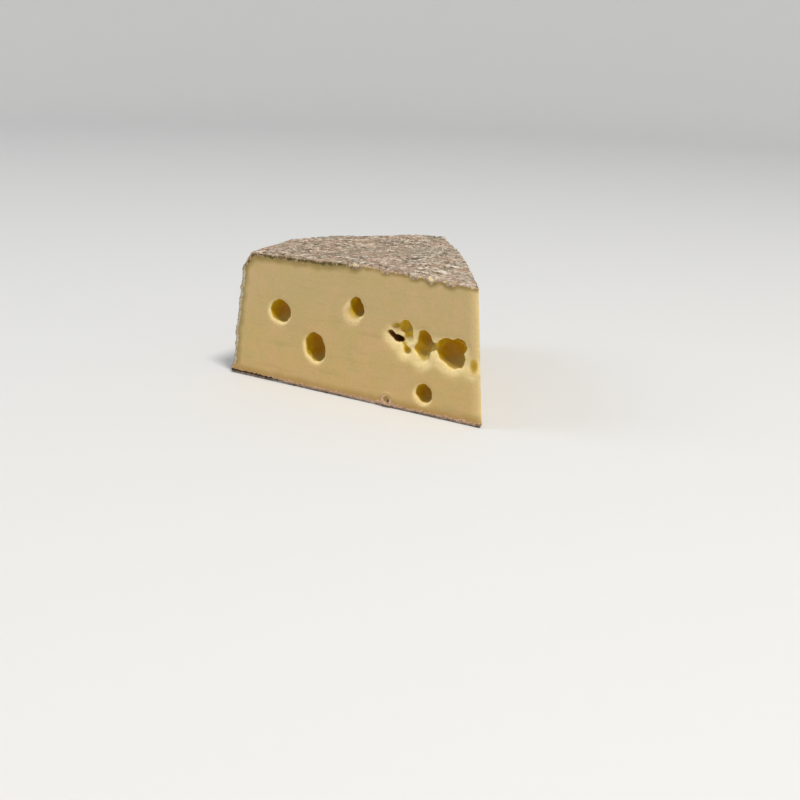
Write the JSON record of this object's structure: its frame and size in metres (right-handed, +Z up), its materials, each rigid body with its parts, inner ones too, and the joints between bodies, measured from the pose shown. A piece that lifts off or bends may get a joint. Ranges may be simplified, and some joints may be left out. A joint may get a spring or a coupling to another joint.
{
  "type": "tomme cheese wedge",
  "caption": "Wedge cut from a small farmhouse tomme: pale paste with gas eyes on two flat cut faces, closed by thin uneven rind on its base, top and curved side.",
  "frame": {"origin": "centre of the bounding box on the plane of the base", "axes": "+Z up, +X towards the thin end of the wedge along the shown cut, -Y out of the shown cut"},
  "size_m": [0.1188, 0.0954, 0.0538],
  "materials": {
    "cheese": "smooth slightly moist paste, with a dry mottled grey-brown rind"
  },
  "bodies": {
    "root": {"tomme_wedge": "cheese"}
  },
  "joints": []
}
